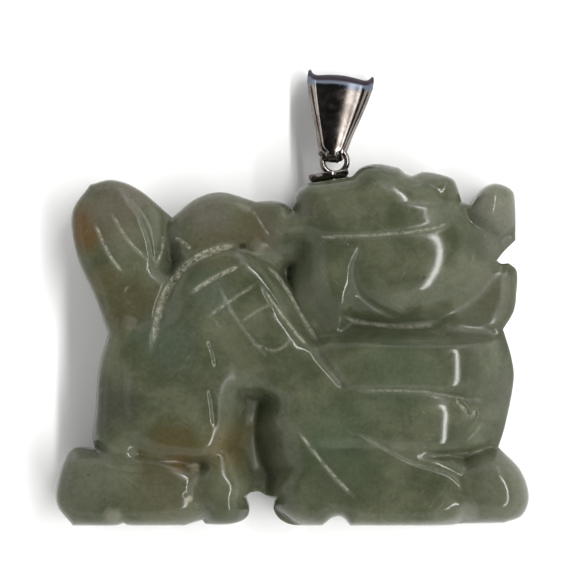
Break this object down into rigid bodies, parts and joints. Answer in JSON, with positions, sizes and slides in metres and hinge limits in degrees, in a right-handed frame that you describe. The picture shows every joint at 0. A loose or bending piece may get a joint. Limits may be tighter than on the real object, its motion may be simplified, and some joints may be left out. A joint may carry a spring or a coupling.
{
  "type": "carved stone pendant",
  "caption": "Flat carved pendant of grey-green aventurine in the shape of a crouching guardian beast, hung by a steel cap, eye and tapered folded bail.",
  "frame": {"origin": "middle of the pendant's bounding box, on the table it lies on", "axes": "+X towards the beast's nose, +Y towards the bail, +Z out of the carved face; the pendant lies on its ground back"},
  "size_m": [0.046, 0.0446, 0.0114],
  "materials": {
    "stone": "polished translucent grey-green aventurine, frosted in the cuts",
    "steel": "polished stainless steel"
  },
  "bodies": {
    "root": {"stone_carving": "stone", "cap_with_eye": "steel", "bail": "steel"}
  },
  "joints": []
}
